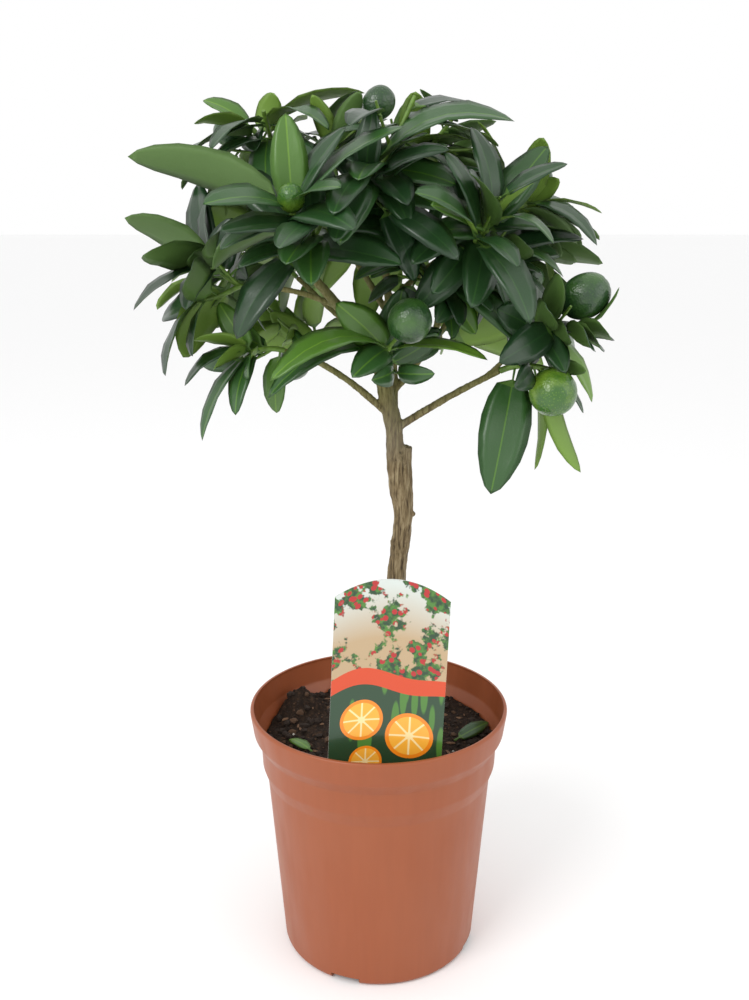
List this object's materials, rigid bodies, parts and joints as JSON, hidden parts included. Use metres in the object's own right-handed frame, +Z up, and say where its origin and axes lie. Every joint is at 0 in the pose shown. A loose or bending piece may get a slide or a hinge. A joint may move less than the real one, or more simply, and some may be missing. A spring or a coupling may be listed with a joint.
{
  "type": "potted citrus tree",
  "caption": "Small standard citrus tree with a rounded leafy crown and young green fruit, in a terracotta-coloured plastic nursery pot of soil, with a wordless picture label.",
  "frame": {"origin": "centre of the pot's flat underside", "axes": "+Z up along the pot's axis; -Y is the front, where the label faces; +X to the right as seen from the front"},
  "size_m": [0.2527, 0.2182, 0.4899],
  "materials": {
    "pot": "satin terracotta-coloured moulded plastic",
    "soil": "crumbly dark potting soil",
    "label": "smooth printed card",
    "bark": "tan striated bark",
    "green_bark": "smooth dark green young bark",
    "leaf": "leathery semi-gloss leaves"
  },
  "bodies": {
    "root": {"pot": "pot", "soil": "soil", "plant_label": "label", "trunk": "bark", "bough_leader": "green_bark", "bough_centre": "green_bark", "bough_left_low": "green_bark", "bough_right_low": "green_bark", "bough_right": "green_bark", "bough_right_fork": "green_bark", "bough_left": "green_bark", "bough_top_left": "green_bark", "bough_top": "green_bark", "bough_right_high": "green_bark", "bough_front_right": "green_bark", "bough_inner_right": "green_bark", "bough_back_left": "green_bark", "bough_back": "green_bark", "bough_back_right": "green_bark", "bough_back_top": "green_bark", "bough_back_low_left": "green_bark", "bough_back_low_right": "green_bark", "foliage_front_left": "leaf", "foliage_front_middle": "leaf", "foliage_front_right": "leaf", "foliage_left": "leaf", "foliage_left_low": "leaf", "foliage_front_low": "leaf", "foliage_inner_right": "leaf", "foliage_right_middle": "leaf", "foliage_right": "leaf", "foliage_right_low": "leaf", "foliage_right_high": "leaf", "foliage_top_left": "leaf", "foliage_top": "leaf", "foliage_back_left": "leaf", "foliage_back": "leaf", "foliage_back_right": "leaf", "foliage_back_top": "leaf", "foliage_back_low_left": "leaf", "foliage_back_low_right": "leaf"}
  },
  "joints": []
}
